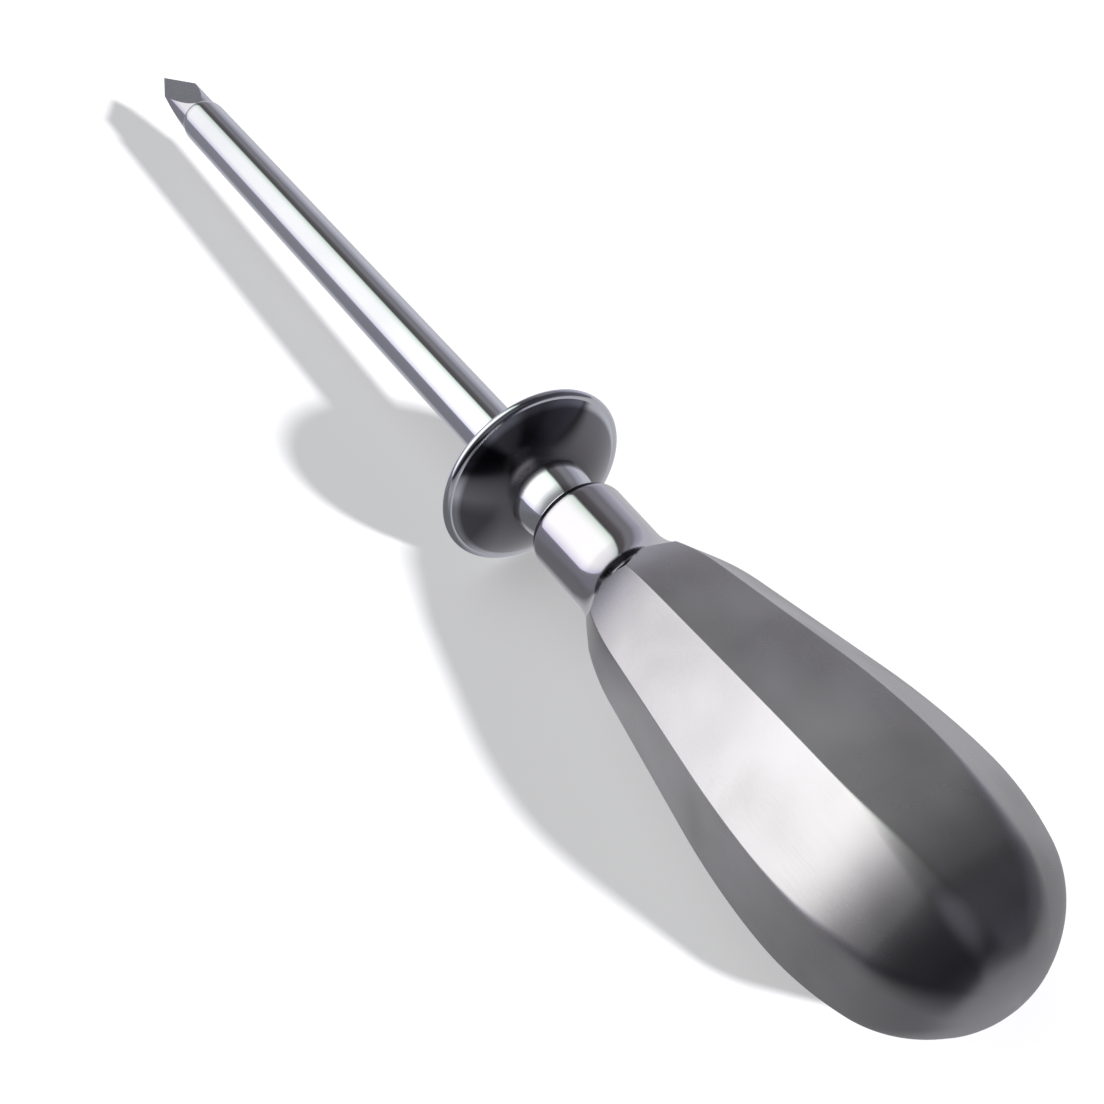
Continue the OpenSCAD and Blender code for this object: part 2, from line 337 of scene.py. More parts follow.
def flat_height(station, inset):
    """Height of a flat above the axis: shoulder arc, straight flank, belly arc,
    aft arc and rear cap, each tangent to the next, all set in by a wall."""
    flank_rear = WIDE_STATION - (BELLY_R - inset) * np.sin(FLANK_SLOPE)
    flank_front = SHOULDER[1] - (SHOULDER_R - inset) * np.sin(FLANK_SLOPE)
    aft_slope = np.arctan2(CAP_RUN, AFT_R - FLAT_H)
    cap_front = CAP_STATION + (CAP_R - inset) * np.sin(aft_slope)
    flank_rear_h = FLAT_H - BELLY_R + (BELLY_R - inset) * np.cos(FLANK_SLOPE)

    def bow(centre, middle, radius):
        """Height of an arc: centre + root of (radius^2 - (station - middle)^2)."""
        return centre + np.sqrt(np.maximum(radius ** 2 - (station - middle) ** 2, 0.0))

    return np.select(
        [station < flank_front, station < flank_rear, station < WIDE_STATION, station < cap_front],
        [
            bow(SHOULDER[0], SHOULDER[1], SHOULDER_R - inset),
            flank_rear_h - (flank_rear - station) * np.tan(FLANK_SLOPE),
            bow(FLAT_H - BELLY_R, WIDE_STATION, BELLY_R - inset),
            bow(FLAT_H - AFT_R, WIDE_STATION, AFT_R - inset),
        ],
        bow(0.0, CAP_STATION, CAP_R - inset),
    )


def ridge_round(station):
    """Rounding of the ridges: small in front, growing by the smooth step
    t^2 (3 - 2t) from just before the widest place to the rear end."""
    start, stop = RIDGE_FADES
    t = np.clip((station - start) / (stop - start), 0.0, 1.0)
    return RIDGE_R + RIDGE_GROWTH * t * t * (3 - 2 * t)


def eight_flats(height, rounding, share):
    """Outline of eight flats with rounded ridges, as turn from a flat's middle
    and distance from the axis. share runs from -1 to 1 over a flat. Up to
    PLANE_SHARE it is on the plane part, where the distance is height /
    cos(turn). The rest is the two half ridges, where the distance is that of
    the far crossing of the line at that turn with the ridge's circle."""
    # At the rear pole a ridge can't be rounder than the flat is high.
    rounding = np.minimum(rounding, 0.9 * height)
    centre = (height - rounding) / np.cos(HALF_FLAT)
    plane_end = np.arctan2((height - rounding) * np.tan(HALF_FLAT), np.maximum(height, 1e-9))
    size = np.abs(share)
    on_plane = size <= PLANE_SHARE
    inner = np.arctan(size / PLANE_SHARE * np.tan(plane_end))
    outer = plane_end + (HALF_FLAT - plane_end) * (size - PLANE_SHARE) / (1 - PLANE_SHARE)
    turn = np.where(on_plane, inner, outer)
    off = HALF_FLAT - turn
    reach = centre * np.cos(off) + np.sqrt(np.maximum(rounding ** 2 - (centre * np.sin(off)) ** 2, 0.0))
    return np.sign(share) * turn, np.where(on_plane, height / np.cos(turn), reach)


# Where collar and shell meet, the flare is as wide as the flats are high.
JOIN_R = float(flat_height(JOIN_STATION, 0.0))
FLARE_STATION = JOIN_STATION - np.sqrt(FLARE_R ** 2 - (WAIST_R + FLARE_R - JOIN_R) ** 2)


def flare_radius(station):
    """Radius of the collar's flare, carried on over the shell's front: waist +
    flare - root of (flare^2 - (station - flare's start)^2)."""
    run = np.minimum(station, FLARE_END) - FLARE_STATION
    return WAIST_R + FLARE_R - np.sqrt(FLARE_R ** 2 - run ** 2)


def half_shell(name, node_name, first_flat):
    """Half of the handle: outer skin over four flats, cut to the flare in
    front, and an inner skin set in by the wall. Each row is a closed loop that
    runs over the outer skin and back over the inner one. The crease, where
    flare and flats meet, is found on each column by halving."""
    half_share = np.concatenate([np.linspace(0.0, PLANE_SHARE, 9), np.linspace(PLANE_SHARE, 1.0, 13)[1:]])
    flat_share = np.concatenate([-half_share[:0:-1], half_share])
    share = np.concatenate([flat_share] + [flat_share[1:]] * 3)
    middle = np.radians(first_flat + FLAT_TURN * np.concatenate([
        np.zeros(flat_share.size), np.repeat(np.arange(1, 4), flat_share.size - 1),
    ]))
    low = np.full(share.shape, JOIN_STATION)
    high = np.full(share.shape, FLARE_END)
    for _ in range(HALVINGS):
        half = (low + high) / 2
        reach = eight_flats(flat_height(half, 0.0), ridge_round(half), share)[1]
        inside = flare_radius(half) < reach
        low, high = np.where(inside, half, low), np.where(inside, high, half)
    crease = (low + high) / 2
    rear_rows = np.concatenate([BODY_ROWS, CAP_STATION + CAP_R * np.sin(CAP_TURNS)])
    rows = [JOIN_STATION + (crease - JOIN_STATION) * t for t in np.arange(FLARE_ROWS) / FLARE_ROWS]
    rows += [crease + (NECK_END - crease) * t for t in np.linspace(0.0, 1.0, 24)[:-1]]
    rows += [np.full(share.shape, s) for s in rear_rows]
    station = np.stack(rows)
    turn, reach = eight_flats(flat_height(station, 0.0), ridge_round(station), share[None, :])
    reach = np.minimum(reach, np.where(station < FLARE_END, flare_radius(station), np.inf))
    outer = in_place(reach, middle + turn, station)
    inner_station = np.minimum(station, REAR_STATION - SHELL_WALL)
    inner_h = flat_height(inner_station, SHELL_WALL)
    turn_in, reach_in = eight_flats(inner_h, np.full(inner_h.shape, INNER_RIDGE_R), share[None, :])
    inner = in_place(reach_in, middle + turn_in, inner_station)
    loop = np.concatenate([outer, inner[:, ::-1]], axis=1)
    front_cap = np.concatenate([inner[:1], inner[:1, ::-1]], axis=1)
    piece = grid_piece(
        name, np.concatenate([front_cap, loop]), close_rows=False, close_columns=True, sharp_degrees=14.0,
        finish=lambda row, column: row <= FLARE_ROWS,
    )
    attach(piece, "handle")
    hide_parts(node_name)
    return piece


def satin_stainless():
    """Stainless ground with fine grit and rubbed along the handle: a soft,
    blurred sheen that is broad across the grain, with slight cloudy change
    of brightness from hand finishing."""
    material, tree = new_material("satin_ground_stainless")
    place = add_node(tree, "ShaderNodeTexCoord").outputs["Object"]
    # Grit lines run along the handle.
    marks = add_node(
        tree, "ShaderNodeMapping", values={"Scale": cells(GRIT_LENGTH, GRIT_WIDTH, GRIT_WIDTH)},
        links={"Vector": place},
    )
    fine = add_node(
        tree, "ShaderNodeTexNoise", values={"Scale": 1.0, "Detail": 3.0, "Roughness": 0.6},
        links={"Vector": marks.outputs[0]},
    )
    cloud = add_node(
        tree, "ShaderNodeTexNoise",
        values={"Scale": cells(SHEEN_SIZE)[0], "Detail": 3.0, "Roughness": 0.5}, links={"Vector": place},
    )
    rough = add_node(
        tree, "ShaderNodeMapRange",
        values={"From Min": 0.3, "From Max": 0.7, "To Min": 0.25, "To Max": 0.31},
        links={"Value": cloud.outputs["Fac"]},
    )
    # Patches from the polisher's strokes, 5 to 20 mm long, a little lighter or
    # darker than the rest.
    patches = add_node(
        tree, "ShaderNodeTexNoise",
        values={"Scale": cells(PATCH_SIZE)[0], "Detail": 2.0, "Roughness": 0.45, "Distortion": 0.3},
        links={"Vector": place},
    )
    mottle = add_node(
        tree, "ShaderNodeMath", settings={"operation": "MULTIPLY_ADD"}, values={1: 0.25},
        links={0: fine.outputs["Fac"], 2: patches.outputs["Fac"]},
    )
    tint = add_node(
        tree, "ShaderNodeValToRGB", links={"Fac": mottle.outputs[0]},
        stops=[(0.45, "D2D0CF"), (0.62, "E0DEDD"), (0.8, "E9E7E7")],
    )
    bump = add_node(
        tree, "ShaderNodeBump", values={"Strength": 0.06, "Distance": GRIT_DEPTH * MM},
        links={"Height": fine.outputs["Fac"]},
    )
    # The rubbing blurs across its strokes more than along them: the tangent
    # runs round the handle.
    around = add_node(
        tree, "ShaderNodeVectorMath", settings={"operation": "CROSS_PRODUCT"}, values={0: (1.0, 0.0, 0.0)},
        links={1: add_node(tree, "ShaderNodeNewGeometry").outputs["Normal"]},
    )
    shader = add_node(
        tree, "ShaderNodeBsdfPrincipled", values={"Metallic": 1.0, "Anisotropic": 0.6},
        links={
            "Base Color": tint.outputs["Color"], "Roughness": rough.outputs[0], "Normal": bump.outputs[0],
            "Tangent": around.outputs[0],
        },
    )
    add_node(tree, "ShaderNodeOutputMaterial", links={"Surface": shader.outputs[0]})
    return material


satin_steel = satin_stainless()
for shell_name, shell_node, shell_flat in (
    ("handle_shell_upper_satin", "handle_shell_upper", -90.0),
    ("handle_shell_lower_satin", "handle_shell_lower", 90.0),
):
    shell = half_shell(shell_name, shell_node, shell_flat)
    shell.data.materials.append(satin_steel)
    # The rows on the flare are polished with the collar.
    shell.data.materials.append(mirror_steel)

# The neck collar: turned from stainless bar and polished, with a rounded front
# edge, a slight waist and a flare that grows out to the handle. A spigot
# behind the flare sits inside the pressed shell.
COLLAR_FRONT = 12.1
COLLAR_R = 8.7
COLLAR_ROUND = 3.0
SPIGOT_GAP = 0.05
SPIGOT_LENGTH = 6.0
SPIGOT_R = flat_height(JOIN_STATION, SHELL_WALL) - SPIGOT_GAP
SPIGOT_END = JOIN_STATION + SPIGOT_LENGTH
BORE_GAP = 0.03
COLLAR_BORE_R = ROD_R + BORE_GAP
BORE_BEVEL = 0.25
EDGE_BEVEL = 0.1


def arc(centre, radius, start, stop, count):
    """Points of an arc in the half plane of radius and station: centre + radius
    * (cos, sin) of the angle, in degrees from straight off the axis towards
    the handle."""
    angle = np.radians(np.linspace(start, stop, count))
    return np.stack([centre[0] + radius * np.cos(angle), centre[1] + radius * np.sin(angle)], 1)


def line(a, b, count):
    """Points spread evenly from one end of a straight line to the other."""
    return np.linspace(a, b, count)


def turned_piece(name, outline, columns, sharp_degrees, material):
    """Closed outline of radius and station turned once round the tool's axis:
    every outline point at every turn k * 2 pi / columns."""
    turn = np.linspace(0.0, 2 * np.pi, columns, endpoint=False)
    points = in_place(outline[:, :1], turn[None, :], outline[:, 1:])
    piece = grid_piece(
        name, points, close_rows=True, close_columns=True, sharp_degrees=sharp_degrees, finish=None
    )
    piece.data.materials.append(material)
    return piece


collar_outline = np.concatenate([
    line((COLLAR_BORE_R + BORE_BEVEL, COLLAR_FRONT), (COLLAR_R - COLLAR_ROUND, COLLAR_FRONT), 4)[:-1],
    arc((COLLAR_R - COLLAR_ROUND, COLLAR_FRONT + COLLAR_ROUND), COLLAR_ROUND, -90, 0, 28),
    line((COLLAR_R, COLLAR_FRONT + COLLAR_ROUND), (WAIST_R, FLARE_STATION), 24)[1:-1],
    arc(
        (WAIST_R + FLARE_R, FLARE_STATION), FLARE_R, 180,
        180 - np.degrees(np.arccos((WAIST_R + FLARE_R - JOIN_R) / FLARE_R)), 26,
    ),
    line((JOIN_R - EDGE_BEVEL, JOIN_STATION), (SPIGOT_R + EDGE_BEVEL, JOIN_STATION), 3),
    line((SPIGOT_R, JOIN_STATION), (SPIGOT_R, SPIGOT_END), 3),
    line((TANG_R + BORE_GAP, SPIGOT_END), (TANG_R + BORE_GAP, SHOULDER_STATION), 3),
    line((COLLAR_BORE_R, SHOULDER_STATION), (COLLAR_BORE_R, COLLAR_FRONT + BORE_BEVEL), 4),
])
collar = turned_piece(
    "neck_collar_polished", collar_outline, columns=256, sharp_degrees=32.0, material=mirror_steel
)
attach(collar, "handle")
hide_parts("neck_collar")

# The lock washer and nut: plain turned stainless, shut inside the handle, where
# they draw the stylet's shoulder against the collar. They keep their CAD form.
CUT_WIDTH = 0.15
CUT_LENGTH = 2.5
CUT_DEPTH = 0.03


def turned_stainless():
    """Stainless as the lathe and mill leave it: grey, with fine tool rings."""
    material, tree = new_material("plain_turned_stainless")
    place = add_node(tree, "ShaderNodeTexCoord").outputs["Object"]
    # Tool marks lie round the axis.
    marks = add_node(
        tree, "ShaderNodeMapping", values={"Scale": cells(CUT_WIDTH, CUT_LENGTH, CUT_LENGTH)},
        links={"Vector": place},
    )
    fine = add_node(
        tree, "ShaderNodeTexNoise", values={"Scale": 1.0, "Detail": 2.0}, links={"Vector": marks.outputs[0]}
    )
    tint = add_node(
        tree, "ShaderNodeValToRGB", links={"Fac": fine.outputs["Fac"]},
        stops=[(0.3, "A9A9AD"), (0.7, "BFBFC2")],
    )
    bump = add_node(
        tree, "ShaderNodeBump", values={"Strength": 0.3, "Distance": CUT_DEPTH * MM},
        links={"Height": fine.outputs["Fac"]},
    )
    shader = add_node(
        tree, "ShaderNodeBsdfPrincipled", values={"Metallic": 1.0, "Roughness": 0.32},
        links={"Base Color": tint.outputs["Color"], "Normal": bump.outputs[0]},
    )
    add_node(tree, "ShaderNodeOutputMaterial", links={"Surface": shader.outputs[0]})
    return material


turned_steel = turned_stainless()
for part_name in ("lock_washer", "tang_nut"):
    part = frame["nodes"][part_name]
    part.data.materials.clear()
    part.data.materials.append(turned_steel)

# The guard: a stainless disc spun into a shallow dome, with its rim rolled to
# a bead, and polished on both sides. It stops the cannula at the skin.
GUARD_R = 17.25
DOME_R = 26.5
GUARD_T = 1.1
BEAD_R = 0.9
BEAD_RING_R = GUARD_R - BEAD_R
# The middle of the sheet runs through the bead's centre.
DOME_CENTRE = -np.sqrt((DOME_R - GUARD_T / 2) ** 2 - BEAD_RING_R ** 2)
# The tube's end is turned down to a step that goes through the guard's bore.
TUBE_R = 5.0
SEAT_STEP = 0.2
SEAT_R = TUBE_R - SEAT_STEP
GUARD_BORE_R = SEAT_R + BORE_GAP
# The polish and the dome's painted shade change between these distances from the axis.
POLISH_AND_SHADE_INNER = 6.0
POLISH_AND_SHADE_OUTER = 18.0
RING_GAP = 0.4
RING_DEPTH = 0.01
SMUDGE_SIZE = 11.1


def ball_station(r, radius):
    """Station of the dome's skin at distance r from the axis: centre + root of
    (radius^2 - r^2)."""
    return DOME_CENTRE + np.sqrt(radius ** 2 - r ** 2)


def bead_meeting(radius, side):
    """Angle, seen from the bead's centre, at which the bead's circle crosses a
    dome skin: the angle towards the dome's centre, plus or minus arccos((bead^2
    + gap^2 - radius^2) / (2 bead gap)) by the rule of cosines."""
    gap = np.hypot(BEAD_RING_R, DOME_CENTRE)
    towards = np.degrees(np.arctan2(DOME_CENTRE, -BEAD_RING_R))
    off = np.degrees(np.arccos((BEAD_R ** 2 + gap ** 2 - radius ** 2) / (2 * BEAD_R * gap)))
    return towards + side * off


def guard_stainless():
    """The guard's polish: as bright as the tube's on the rim's bead. Over the
    spun dome the base colour is painted darker, a painted shade that stands in
    for the dark surroundings it mirrors. It is darkest next to the socket, as
    painted shade in the corner at its foot, where the buffing wheel's short
    reach also leaves the roughness higher in a soft dull ring."""
    material, tree = new_material("spun_stainless_painted_shade")
    place = add_node(tree, "ShaderNodeTexCoord").outputs["Object"]
    # Distance from the tool's axis, in metres: the offset's length without its X.
    offset = add_node(
        tree, "ShaderNodeVectorMath", settings={"operation": "SUBTRACT"},
        values={1: (0.0, 0.0, float(RIM_PLACE[2]) * MM)}, links={0: place},
    )
    across = add_node(
        tree, "ShaderNodeVectorMath", settings={"operation": "MULTIPLY"}, values={1: (0.0, 1.0, 1.0)},
        links={0: offset.outputs[0]},
    )
    from_axis = add_node(
        tree, "ShaderNodeVectorMath", settings={"operation": "LENGTH"}, links={0: across.outputs[0]}
    )
    reach = add_node(
        tree, "ShaderNodeMapRange", values={"From Min": POLISH_AND_SHADE_INNER * MM, "From Max": POLISH_AND_SHADE_OUTER * MM},
        links={"Value": from_axis.outputs["Value"]},
    ).outputs[0]
    # Painted shade: the dome's base colour is much darker than the bead's, and darkest by the socket's foot.
    tint = add_node(
        tree, "ShaderNodeValToRGB", links={"Fac": reach},
        stops=[
            (0.0, "6E6C72"), (0.2, "7C7A7E"), (0.45, "868488"), (0.74, "8E8C92"),
            (0.8, "E4E5EC"), (1.0, "ECEDF2"),
        ],
    )
    dull = add_node(
        tree, "ShaderNodeValToRGB", links={"Fac": reach},
        stops=[(0.0, "B8B8B8"), (0.15, "909090"), (0.4, "606060"), (0.8, "484848")],
    )
    cloud = add_node(
        tree, "ShaderNodeTexNoise", values={"Scale": cells(SMUDGE_SIZE)[0], "Detail": 3.0},
        links={"Vector": place},
    )
    rough = add_node(
        tree, "ShaderNodeMath", settings={"operation": "MULTIPLY_ADD"}, values={1: 0.05},
        links={0: cloud.outputs["Fac"], 2: dull.outputs["Color"]},
    )
    # Spinning leaves rings, nearly buffed out: sin(2 pi * distance / gap).
    ring_turn = add_node(
        tree, "ShaderNodeMath", settings={"operation": "MULTIPLY"},
        values={1: 2 * np.pi / (RING_GAP * MM)}, links={0: from_axis.outputs["Value"]},
    )
    rings = add_node(
        tree, "ShaderNodeMath", settings={"operation": "SINE"}, links={0: ring_turn.outputs[0]}
    )
    bump = add_node(
        tree, "ShaderNodeBump", values={"Strength": 0.02, "Distance": RING_DEPTH * MM},
        links={"Height": rings.outputs[0]},
    )
    shader = add_node(
        tree, "ShaderNodeBsdfPrincipled", values={"Metallic": 1.0},
        links={"Base Color": tint.outputs["Color"], "Roughness": rough.outputs[0], "Normal": bump.outputs[0]},
    )
    add_node(tree, "ShaderNodeOutputMaterial", links={"Surface": shader.outputs[0]})
    return material


outer_cross = bead_meeting(DOME_R, -1)
inner_cross = bead_meeting(DOME_R - GUARD_T, 1)
outer_cut = BEAD_RING_R + BEAD_R * np.cos(np.radians(outer_cross))
inner_cut = BEAD_RING_R + BEAD_R * np.cos(np.radians(inner_cross))
outer_r = np.linspace(GUARD_BORE_R, outer_cut, 40)
inner_r = np.linspace(inner_cut, GUARD_BORE_R, 30)
guard_outline = np.concatenate([
    np.stack([outer_r, ball_station(outer_r, DOME_R)], 1),
    arc((BEAD_RING_R, 0.0), BEAD_R, (outer_cross + 360) % 360, inner_cross % 360 - 360, 44)[1:-1],
    np.stack([inner_r, ball_station(inner_r, DOME_R - GUARD_T)], 1),
])
dome_steel_painted_shade = guard_stainless()
guard = turned_piece(
    "guard_disc_polished", guard_outline, columns=720, sharp_degrees=35.0, material=dome_steel_painted_shade
)
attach(guard, "cannula")
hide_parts("guard_disc")

# The cannula's tube: thin drawn stainless, polished, with a rounded mouth. Its
# rear end is seated in the socket.
TUBE_WALL = 0.5
TUBE_BORE_R = TUBE_R - TUBE_WALL
TUBE_REACH = 139.5
TUBE_SEAT = 9.0
# The turned-down end starts a little in front of the guard.
SEAT_RELIEF = 0.4
SEAT_START = ball_station(TUBE_R, DOME_R - GUARD_T) - SEAT_RELIEF
# The mouth is drawn in over a longer way than it is deep, so that it slips
# through tissue.
LIP_DEPTH = 0.4
LIP_LONG = 2.2
MOUTH_FLARE = 0.06
MOUTH_DEPTH = 0.1
TUBE_EDGE = 0.05
STEP_EDGE = 0.03
ROW_GAP = 0.3
tube_outline = np.concatenate([
    line((SEAT_R, TUBE_SEAT - TUBE_EDGE), (SEAT_R, SEAT_START), 3),
    line((TUBE_R - STEP_EDGE, SEAT_START), (TUBE_R, SEAT_START - TUBE_EDGE), 2),
    line((TUBE_R, SEAT_START - ROW_GAP), (TUBE_R, LIP_LONG - TUBE_REACH), 30)[:-1],
    arc((0, 0), 1.0, 0, -90, 18) * (LIP_DEPTH, LIP_LONG) + (TUBE_R - LIP_DEPTH, LIP_LONG - TUBE_REACH),
    line((TUBE_BORE_R + MOUTH_FLARE, -TUBE_REACH), (TUBE_BORE_R, MOUTH_DEPTH - TUBE_REACH), 2),
    line((TUBE_BORE_R, 5 * MOUTH_DEPTH - TUBE_REACH), (TUBE_BORE_R, TUBE_SEAT - 2 * TUBE_EDGE), 12),
    line((TUBE_BORE_R + TUBE_EDGE, TUBE_SEAT), (SEAT_R - TUBE_EDGE, TUBE_SEAT), 2),
])
cool_steel = polished_stainless("mirror_polished_cool_stainless", "EEF0F2", "F6F7F8")
tube = turned_piece(
    "cannula_tube_polished", tube_outline, columns=240, sharp_degrees=35.0, material=cool_steel
)
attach(tube, "cannula")
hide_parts("cannula_tube")

# The socket: a turned stainless ring brazed on the dome round the tube. Its
# curved side narrows to a flat ring that the collar meets.
SOCKET_WALL = 2.05
SOCKET_R = TUBE_R + SOCKET_WALL
SOCKET_FOOT = ball_station(SOCKET_R, DOME_R)
SOCKET_BEVEL = 0.4
SOCKET_MOUTH_R = TUBE_BORE_R + SOCKET_BEVEL
SEAT_RING = 0.7
SOCKET_END_R = SOCKET_MOUTH_R + SEAT_RING
SOCKET_TAPER = SOCKET_R - SOCKET_END_R
SOCKET_LENGTH = COLLAR_FRONT - SOCKET_FOOT
SOCKET_CURVE_R = (SOCKET_TAPER ** 2 + SOCKET_LENGTH ** 2) / (2 * SOCKET_TAPER)
SOCKET_TURN = np.degrees(np.arcsin(SOCKET_LENGTH / SOCKET_CURVE_R))
# Worn edges: how far each is cut back, and how far the foot clears the dome.
SOCKET_EDGE = 0.05
RING_EDGE = 0.12
BORE_EDGE = 0.03
FOOT_EDGE = 0.02
FOOT_GAP = 0.004
foot_r = np.linspace(GUARD_BORE_R, SOCKET_R - FOOT_EDGE, 8)
socket_outline = np.concatenate([
    np.stack([foot_r, ball_station(foot_r, DOME_R) + FOOT_GAP], 1),
    arc((SOCKET_R - SOCKET_CURVE_R, SOCKET_FOOT), SOCKET_CURVE_R, 0.1, SOCKET_TURN - 0.4, 30),
    line((SOCKET_END_R - RING_EDGE, COLLAR_FRONT), (SOCKET_MOUTH_R + SOCKET_EDGE, COLLAR_FRONT), 3),
    line(
        (SOCKET_MOUTH_R - SOCKET_EDGE, COLLAR_FRONT - SOCKET_EDGE),
        (TUBE_BORE_R + BORE_EDGE, COLLAR_FRONT - SOCKET_BEVEL + BORE_EDGE), 3,
    ),
    line((TUBE_BORE_R, COLLAR_FRONT - SOCKET_BEVEL - SOCKET_EDGE), (TUBE_BORE_R, TUBE_SEAT), 4),
    line((GUARD_BORE_R, TUBE_SEAT), (GUARD_BORE_R, ball_station(GUARD_BORE_R, DOME_R) + EDGE_BEVEL), 4),
])
socket = turned_piece(
    "cannula_socket_polished", socket_outline, columns=240, sharp_degrees=32.0, material=cool_steel
)
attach(socket, "cannula")
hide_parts("cannula_socket")

# The table and the studio: a plain pale sheet under the tool, one soft lamp
# from the camera's right, a long soft light box on the far left and darker
# surroundings behind the camera, which the polished steel mirrors.
SHEET_HALF = 6000.0
SHEET_LIFT = 0.39
floor_mesh = bpy.data.meshes.new("floor")
floor_mesh.from_pydata(
    [(x * SHEET_HALF * MM, y * SHEET_HALF * MM, 0.0) for x, y in ((-1, -1), (1, -1), (1, 1), (-1, 1))],
    [], [(0, 1, 2, 3)],
)
floor = bpy.data.objects.new("floor", floor_mesh)
bpy.context.scene.collection.objects.link(floor)
sheet, sheet_tree = new_material("pale_paper")
sheet_rays = add_node(sheet_tree, "ShaderNodeLightPath")
# For glossy rays the sheet glows with painted tones instead of its own lighting.
# In the polished steel the sheet looks as a wide dim room would: each side of
# the tool has its own run of tones along X, from behind the handle to the point,
# and the left side, where the tool's shadow falls, carries a painted shadow.
sheet_axes = add_node(
    sheet_tree, "ShaderNodeSeparateXYZ",
    links={"Vector": add_node(sheet_tree, "ShaderNodeTexCoord").outputs["Object"]},
)


def sheet_run(axis, stops):
    """Tones over the sheet along one axis, evenly from each stop to the next."""
    low, high = stops[0][0], stops[-1][0]
    share = add_node(
        sheet_tree, "ShaderNodeMapRange", values={"From Min": low * MM, "From Max": high * MM},
        links={"Value": sheet_axes.outputs[axis]},
    )
    return add_node(
        sheet_tree, "ShaderNodeValToRGB", links={"Fac": share.outputs[0]},
        stops=[((place - low) / (high - low), tone) for place, tone in stops],
    ).outputs["Color"]


# Painted light and shade on the sheet as the steel sees it: the right run is painted lamp light on the floor,
# the left run is painted shadow from the tool, and both darken towards a dim room behind the handle.
sheet_right = sheet_run("X", [
    (-360, "48484C"), (-260, "606064"), (-160, "88888C"), (-100, "B0B0B4"), (-45, "B8B8BC"),
    (-20, "C4C4C8"), (40, "BEBEC6"), (200, "BEBEC6"),
])
sheet_left_painted_shade = sheet_run("X", [
    (-360, "1A1A1E"), (-260, "222226"), (-190, "3A3A3E"), (-130, "727276"), (-60, "A0A0A4"),
    (-43, "707074"), (-20, "6C6C70"), (0, "7A7A84"), (200, "84848E"),
])
# Painted shadow: across Y the tones change from the lit right run to the darker left run, on the side where
# the tool's shadow falls.
sheet_painted_shadow_side = sheet_run("Y", [(-6, "000000"), (3, "404040"), (9, "8C8C8C"), (16, "FFFFFF")])
sheet_mirrored = add_node(
    sheet_tree, "ShaderNodeMix", settings={"data_type": "RGBA"},
    links={0: sheet_painted_shadow_side, 6: sheet_right, 7: sheet_left_painted_shade},
)
sheet_glow = add_node(
    sheet_tree, "ShaderNodeEmission", values={"Strength": 1.0}, links={"Color": sheet_mirrored.outputs[2]}
)
sheet_diffuse = add_node(sheet_tree, "ShaderNodeBsdfDiffuse", values={"Color": linear("B4B4B6")})
# The lift brings the lit sheet up to white for the camera and keeps its shadow.
sheet_lift = add_node(sheet_tree, "ShaderNodeEmission", values={"Color": linear("FFFFFF")})
sheet_level = add_node(
    sheet_tree, "ShaderNodeMath", settings={"operation": "MULTIPLY"}, values={1: SHEET_LIFT},
    links={0: sheet_rays.outputs["Is Camera Ray"]},
)
sheet_tree.links.new(sheet_level.outputs[0], sheet_lift.inputs["Strength"])
sheet_sum = add_node(
    sheet_tree, "ShaderNodeAddShader", links={0: sheet_diffuse.outputs[0], 1: sheet_lift.outputs[0]}
)
sheet_look = add_node(
    sheet_tree, "ShaderNodeMixShader",
    links={0: sheet_rays.outputs["Is Glossy Ray"], 1: sheet_sum.outputs[0], 2: sheet_glow.outputs[0]},
)
add_node(sheet_tree, "ShaderNodeOutputMaterial", links={"Surface": sheet_look.outputs[0]})
floor_mesh.materials.append(sheet)

LAMP_POWER = 7.2
LAMP_WIDTH = np.radians(4.0)
# The lamp stands this far above the horizon, and this far round from the point.
LAMP_HEIGHT = np.radians(31.0)
LAMP_ROUND = np.radians(197.0)
LAMP_FROM = Vector((
    np.cos(LAMP_HEIGHT) * np.cos(LAMP_ROUND), np.cos(LAMP_HEIGHT) * np.sin(LAMP_ROUND), np.sin(LAMP_HEIGHT)
))
lamp_data = bpy.data.lights.new("key_lamp", "SUN")
lamp_data.energy = LAMP_POWER
lamp_data.angle = LAMP_WIDTH
lamp = bpy.data.objects.new("key_lamp", lamp_data)
bpy.context.scene.collection.objects.link(lamp)
lamp.rotation_euler = LAMP_FROM.to_track_quat("Z", "Y").to_euler()
lamp.visible_glossy = False

# What the steel mirrors: the room, the light box and a dim far wall, as light
# that depends on the direction alone. The camera itself sees plain white.
ROOM_LEVEL = 1.4
BOX_LEVEL = 1.25
WALL_LEVEL = 0.35
world = bpy.data.worlds.new("studio")
bpy.context.scene.world = world
world.use_nodes = True
sky = world.node_tree
sky.nodes.clear()
sky_rays = add_node(sky, "ShaderNodeLightPath")
sky_place = add_node(sky, "ShaderNodeTexCoord").outputs["Generated"]
sky_axes = add_node(sky, "ShaderNodeSeparateXYZ", links={"Vector": sky_place})
# Turn about the tool, from straight down over the right, up and the left: 0 to 1.
sky_turn = add_node(
    sky, "ShaderNodeMath", settings={"operation": "ARCTAN2"},
    links={0: sky_axes.outputs["Y"], 1: sky_axes.outputs["Z"]},
)
sky_turn_share = add_node(
    sky, "ShaderNodeMapRange",
    values={"From Min": -np.pi, "From Max": np.pi, "To Min": 0.0, "To Max": 1.0},
    links={"Value": sky_turn.outputs[0]},
)
sky_along = add_node(
    sky, "ShaderNodeMapRange", values={"From Min": -1.0, "From Max": 1.0, "To Min": 0.0, "To Max": 1.0},
    links={"Value": sky_axes.outputs["X"]},
).outputs[0]


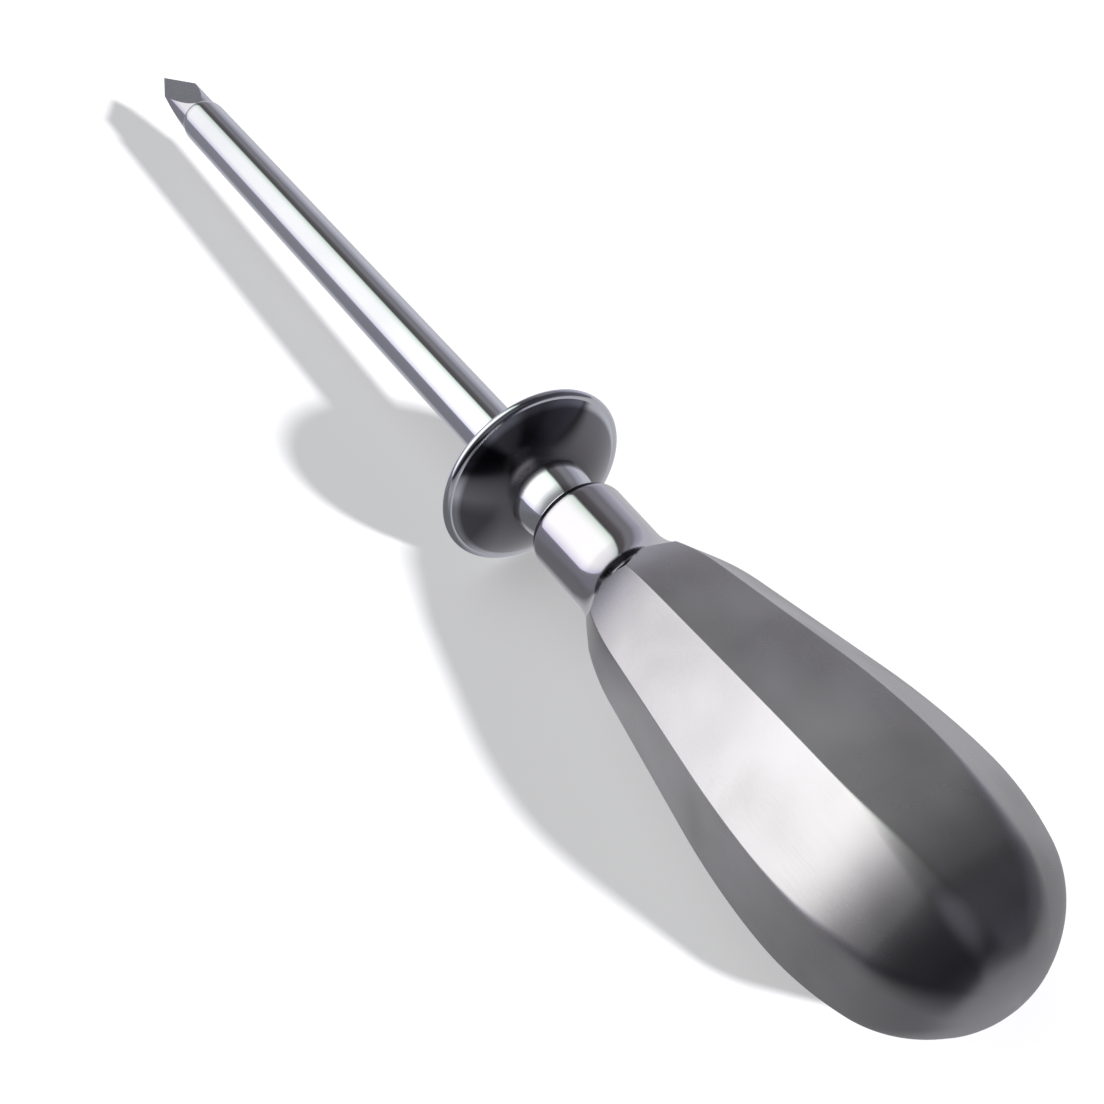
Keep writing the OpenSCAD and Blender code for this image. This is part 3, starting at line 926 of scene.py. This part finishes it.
def sky_layer(turn_stops, along_stops):
    """Light over the sky: its tone at the turn about the tool, in degrees from
    straight up, times its tone along the tool, which is the X of the direction."""
    around = add_node(
        sky, "ShaderNodeValToRGB", links={"Fac": sky_turn_share.outputs[0]},
        stops=[((turn + 180.0) / 360.0, tone) for turn, tone in turn_stops],
    )
    along = add_node(
        sky, "ShaderNodeValToRGB", links={"Fac": sky_along},
        stops=[((place + 1.0) / 2.0, tone) for place, tone in along_stops],
    )
    made = add_node(
        sky, "ShaderNodeMix", settings={"data_type": "RGBA", "blend_type": "MULTIPLY"}, values={0: 1.0},
        links={6: around.outputs["Color"], 7: along.outputs["Color"]},
    )
    return made.outputs[2]


room = sky_layer(
    [(-180, "B0B0B4"), (-96, "B0AFB8"), (-87, "A2A2AE"), (-78, "93929F"), (-66, "86858F"), (-55, "68676E"),
     (-43, "6C6B71"), (-36, "66656A"), (-29, "504E50"), (-16, "464446"), (50, "464548"), (80, "3A393C"),
     (98, "4C485C"), (106, "504C62"), (114, "8C8A94"), (180, "B0B0B4")],
    [(-1.0, "3C3C40"), (-0.94, "484A50"), (-0.85, "757579"), (-0.25, "949496"), (0.0, "C8C8CA"),
     (0.17, "FFFFFF")],
)
light_box = sky_layer(
    [(-11, "000000"), (-6, "CCDCD0"), (6, "F0F6F2"), (17, "FFFFFF"), (66, "FFFFFF"), (80, "EAE9F2"),
     (93, "C4BEDA"), (99, "000000")],
    [(-0.66, "000000"), (-0.49, "222224"), (-0.32, "38383A"), (-0.14, "58585A"), (0.0, "8C8C8E"),
     (0.2, "FCFCFC"), (0.36, "FFFFFF"), (0.66, "FAFAFA"), (0.74, "E8E8E8"), (0.87, "DCDCDF"),
     (0.95, "CCCCD0"), (0.985, "78787C"), (1.0, "505054")],
)
far_wall = sky_layer(
    [(-36, "000000"), (-14, "DCDCDC"), (30, "FFFFFF"), (54, "000000")],
    [(-1.0, "84848C"), (-0.9, "9494A0"), (-0.65, "9494A0"), (-0.4, "000000")],
)
sky_room, sky_box, sky_wall = (
    add_node(sky, "ShaderNodeBackground", values={"Strength": level}, links={"Color": layer}).outputs[0]
    for layer, level in ((room, ROOM_LEVEL), (light_box, BOX_LEVEL), (far_wall, WALL_LEVEL))
)
sky_near = add_node(sky, "ShaderNodeAddShader", links={0: sky_room, 1: sky_box})
sky_light = add_node(sky, "ShaderNodeAddShader", links={0: sky_near.outputs[0], 1: sky_wall})
sky_white = add_node(sky, "ShaderNodeBackground", values={"Color": linear("FFFFFF"), "Strength": 1.0})
sky_mix = add_node(
    sky, "ShaderNodeMixShader",
    links={0: sky_rays.outputs["Is Camera Ray"], 1: sky_light.outputs[0], 2: sky_white.outputs[0]},
)
add_node(sky, "ShaderNodeOutputWorld", links={"Surface": sky_mix.outputs[0]})

# The camera, from behind and above, on the tool's left, where the photograph's
# was. Its focal length is 1486 of the photograph's pixels.
PHOTO_WIDTH = 1104.0
PHOTO_FOCAL = 1486.0
SENSOR_WIDTH = 36.0
EYE_PLACE = Vector((-179.08, 95.60, 192.58))
EYE_TARGET = Vector((-41.32, 7.02, 18.0))
EYE_ROLL = np.radians(0.26)
eye_data = bpy.data.cameras.new("camera")
eye_data.sensor_width = SENSOR_WIDTH
eye_data.lens = SENSOR_WIDTH * PHOTO_FOCAL / PHOTO_WIDTH
eye_data.clip_start = 10.0 * MM
eye = bpy.data.objects.new("camera", eye_data)
bpy.context.scene.collection.objects.link(eye)
eye.matrix_world = (
    Matrix.Translation(EYE_PLACE * MM)
    @ (EYE_TARGET - EYE_PLACE).to_track_quat("-Z", "Y").to_matrix().to_4x4()
    @ Matrix.Rotation(EYE_ROLL, 4, "Z")
)
bpy.context.scene.camera = eye
bpy.context.scene.view_settings.view_transform = "Standard"
